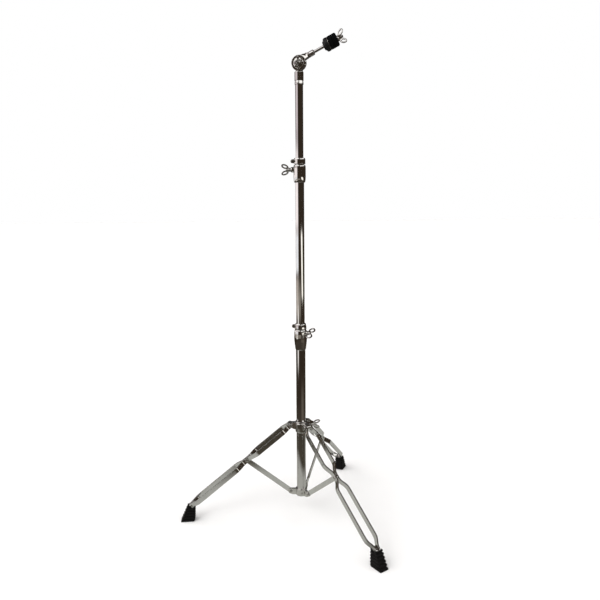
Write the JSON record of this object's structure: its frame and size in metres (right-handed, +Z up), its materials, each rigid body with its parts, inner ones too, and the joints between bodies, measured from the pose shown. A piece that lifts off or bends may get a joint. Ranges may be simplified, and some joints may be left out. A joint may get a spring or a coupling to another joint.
{
  "type": "cymbal stand",
  "caption": "Straight chrome cymbal stand: folding double-strap tripod with rubber feet, telescopic tubes with clamps, ratchet tilter, felts and wing nut.",
  "frame": {"origin": "on the floor, at the middle of the stand's bounding box; the pole's axis stands 89.65 mm from it along +X", "axes": "+Z up along the pole; leg a points along -X; legs b and c point to 300 and 60 degrees round +Z"},
  "size_m": [0.5836, 0.672, 1.4386],
  "materials": {
    "chrome": "polished",
    "steel": "plated, slightly dull",
    "rubber": "matte moulded",
    "felt": "pressed wool felt",
    "seat_plastic": "moulded",
    "nylon": "moulded"
  },
  "bodies": {
    "base": {"base_tube": "chrome", "lower_bracket": "chrome", "bracket_pin": "steel", "strut_rivet_a": "steel", "strut_rivet_b": "steel", "strut_rivet_c": "steel", "lower_clamp_body": "chrome", "lower_clamp_sleeve": "nylon"},
    "strut_a": {"strut_a": "chrome"},
    "strut_b": {"strut_b": "chrome"},
    "strut_c": {"strut_c": "chrome"},
    "leg_a": {"leg_a_left_strap": "chrome", "leg_a_right_strap": "chrome", "leg_rivet_a": "steel", "foot_spacer_a": "steel", "foot_rivet_a": "steel", "rubber_foot_a": "rubber"},
    "leg_b": {"leg_b_left_strap": "chrome", "leg_b_right_strap": "chrome", "leg_rivet_b": "steel", "foot_spacer_b": "steel", "foot_rivet_b": "steel", "rubber_foot_b": "rubber"},
    "leg_c": {"leg_c_left_strap": "chrome", "leg_c_right_strap": "chrome", "leg_rivet_c": "steel", "foot_spacer_c": "steel", "foot_rivet_c": "steel", "rubber_foot_c": "rubber"},
    "collar": {"leg_collar": "chrome", "collar_sleeve": "nylon", "collar_rivet_a": "steel", "collar_rivet_b": "steel", "collar_rivet_c": "steel"},
    "collar_screw": {"collar_wing_screw": "chrome"},
    "lower_screw": {"lower_clamp_wing_screw": "chrome"},
    "lower_lock": {"lower_memory_lock": "chrome"},
    "lower_lock_screw": {"lower_memory_lock_screw": "steel"},
    "middle": {"middle_tube": "chrome", "upper_clamp_body": "chrome", "upper_clamp_sleeve": "nylon"},
    "upper_screw": {"upper_clamp_wing_screw": "chrome"},
    "upper_lock": {"upper_memory_lock": "chrome"},
    "upper_lock_screw": {"upper_memory_lock_screw": "steel"},
    "upper": {"upper_tube": "chrome", "tilter_base": "chrome", "tilter_bolt": "steel", "tilter_washer": "steel"},
    "tilter_nut": {"tilter_wing_nut": "chrome"},
    "arm": {"tilter_arm": "chrome", "rod_lock_nut": "steel", "cymbal_rod": "chrome", "cymbal_seat": "seat_plastic", "seat_washer": "steel", "rod_sleeve": "nylon", "lower_felt": "felt"},
    "top_felt": {"upper_felt": "felt"},
    "cymbal_nut": {"cymbal_wing_nut": "chrome"}
  },
  "joints": [
    {"name": "leg_fold", "type": "hinge", "parent": "base", "child": "strut_a", "pos_m": [0.05565, 0, 0.08], "axis": [0, 1, 0], "range_deg": [0, 46.5]},
    {"name": "strut_b_fold", "type": "hinge", "parent": "base", "child": "strut_b", "pos_m": [0.10665, -0.02944, 0.08], "axis": [-0.866, -0.5, 0], "range_deg": [0, 46.5]},
    {"name": "strut_c_fold", "type": "hinge", "parent": "base", "child": "strut_c", "pos_m": [0.10665, 0.02944, 0.08], "axis": [0.866, -0.5, 0], "range_deg": [0, 46.5]},
    {"name": "leg_a_pinch", "type": "hinge", "parent": "strut_a", "child": "leg_a", "pos_m": [-0.08152, 0, 0.19107], "axis": [0, 1, 0], "range_deg": [-93, 0]},
    {"name": "leg_b_pinch", "type": "hinge", "parent": "strut_b", "child": "leg_b", "pos_m": [0.17523, -0.14823, 0.19107], "axis": [-0.866, -0.5, 0], "range_deg": [-93, 0]},
    {"name": "leg_c_pinch", "type": "hinge", "parent": "strut_c", "child": "leg_c", "pos_m": [0.17523, 0.14823, 0.19107], "axis": [0.866, -0.5, 0], "range_deg": [-93, 0]},
    {"name": "collar_hinge", "type": "hinge", "parent": "leg_a", "child": "collar", "pos_m": [0.05565, 0, 0.30215], "axis": [0, 1, 0], "range_deg": [0, 46.5]},
    {"name": "collar_screw_turn", "type": "hinge", "parent": "collar", "child": "collar_screw", "pos_m": [0.12295, 0, 0.2995], "axis": [1, 0, 0], "continuous": true},
    {"name": "lower_screw_turn", "type": "hinge", "parent": "base", "child": "lower_screw", "pos_m": [0.10836, -0.01354, 0.5945], "axis": [0.81, -0.5864, 0], "continuous": true},
    {"name": "lower_swivel", "type": "hinge", "parent": "base", "child": "lower_lock", "pos_m": [0.08965, 0, 0.6045], "axis": [0, 0, 1], "continuous": true},
    {"name": "lower_lock_screw_turn", "type": "hinge", "parent": "lower_lock", "child": "lower_lock_screw", "pos_m": [0.06896, 0.00214, 0.61325], "axis": [-0.1028, -0.9947, 0], "continuous": true},
    {"name": "middle_height", "type": "slide", "parent": "lower_lock", "child": "middle", "axis": [0, 0, 1], "range_m": [-0.4, 0.05]},
    {"name": "upper_screw_turn", "type": "hinge", "parent": "middle", "child": "upper_screw", "pos_m": [0.06299, 0.00276, 1.07], "axis": [-0.9947, 0.1028, 0], "continuous": true},
    {"name": "upper_swivel", "type": "hinge", "parent": "middle", "child": "upper_lock", "pos_m": [0.08965, 0, 1.085], "axis": [0, 0, 1], "continuous": true},
    {"name": "upper_lock_screw_turn", "type": "hinge", "parent": "upper_lock", "child": "upper_lock_screw", "pos_m": [0.06896, 0.00214, 1.0935], "axis": [-0.1028, -0.9947, 0], "continuous": true},
    {"name": "upper_height", "type": "slide", "parent": "upper_lock", "child": "upper", "axis": [0, 0, 1], "range_m": [-0.19, 0.1]},
    {"name": "tilt", "type": "hinge", "parent": "upper", "child": "arm", "pos_m": [0.08965, 0, 1.3562], "axis": [-0.3404, -0.9403, 0], "range_deg": [-24.5, 155.5]},
    {"name": "tilter_nut_turn", "type": "hinge", "parent": "upper", "child": "tilter_nut", "pos_m": [0.08965, 0, 1.3562], "axis": [-0.3404, -0.9403, 0], "continuous": true},
    {"name": "top_felt_lift", "type": "slide", "parent": "arm", "child": "top_felt", "axis": [0.8556, -0.3097, 0.4147], "range_m": [0, 0.035]},
    {"name": "cymbal_nut_turn", "type": "hinge", "parent": "top_felt", "child": "cymbal_nut", "pos_m": [0.08723, 0.00088, 1.36184], "axis": [0.8556, -0.3097, 0.4147], "continuous": true}
  ],
  "couplings": [
    {"joint": "strut_b_fold", "follows": "leg_fold", "ratio": 1},
    {"joint": "strut_c_fold", "follows": "leg_fold", "ratio": 1},
    {"joint": "leg_a_pinch", "follows": "leg_fold", "ratio": -2},
    {"joint": "leg_b_pinch", "follows": "leg_fold", "ratio": -2},
    {"joint": "leg_c_pinch", "follows": "leg_fold", "ratio": -2},
    {"joint": "collar_hinge", "follows": "leg_fold", "ratio": 1}
  ]
}
